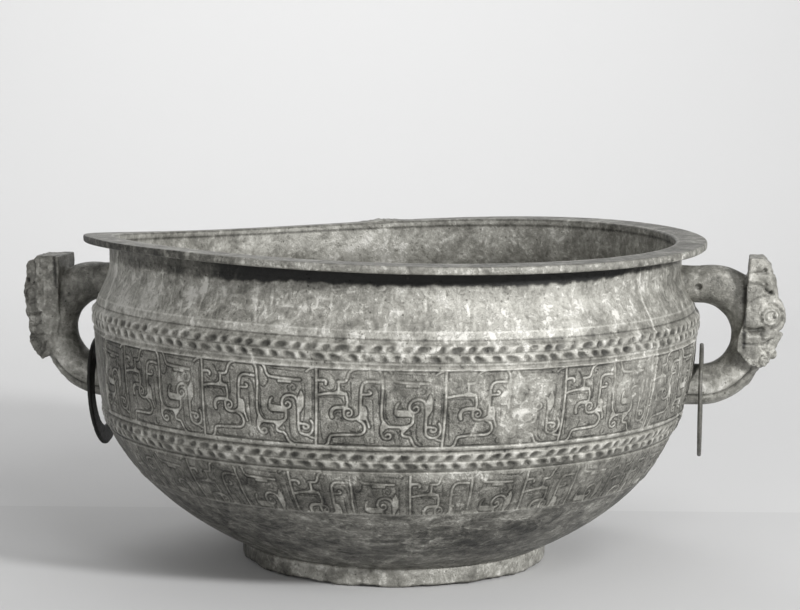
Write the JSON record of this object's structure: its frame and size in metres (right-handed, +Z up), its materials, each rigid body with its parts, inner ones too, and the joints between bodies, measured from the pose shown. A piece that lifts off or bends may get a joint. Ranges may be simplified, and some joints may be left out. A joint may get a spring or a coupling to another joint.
{
  "type": "ritual water basin",
  "caption": "Cast bronze ritual water basin with flat lip, plaited cords, dragon bands, foot ring, loop handles with animal masks and loose rings.",
  "frame": {"origin": "centre of the foot ring's underside, on the surface that the basin stands on", "axes": "+Z up, +X towards the right handle, +Y towards the far side of the picture"},
  "size_m": [0.5239, 0.42, 0.222],
  "materials": {
    "basin_bronze": "matte",
    "handle_bronze": "matte",
    "ring_bronze": "satin"
  },
  "bodies": {
    "vessel": {"basin": "basin_bronze", "handle_left": "handle_bronze", "handle_right": "handle_bronze"},
    "ring_left": {"ring_left": "ring_bronze"},
    "ring_right": {"ring_right": "ring_bronze"}
  },
  "joints": [
    {"name": "ring_left_swing", "type": "hinge", "parent": "vessel", "child": "ring_left", "pos_m": [-0.2081, 0, 0.1164], "axis": [1, 0, 0], "range_deg": [-80, 80]},
    {"name": "ring_right_swing", "type": "hinge", "parent": "vessel", "child": "ring_right", "pos_m": [0.207, 0, 0.1234], "axis": [1, 0, 0], "range_deg": [-80, 80]}
  ]
}
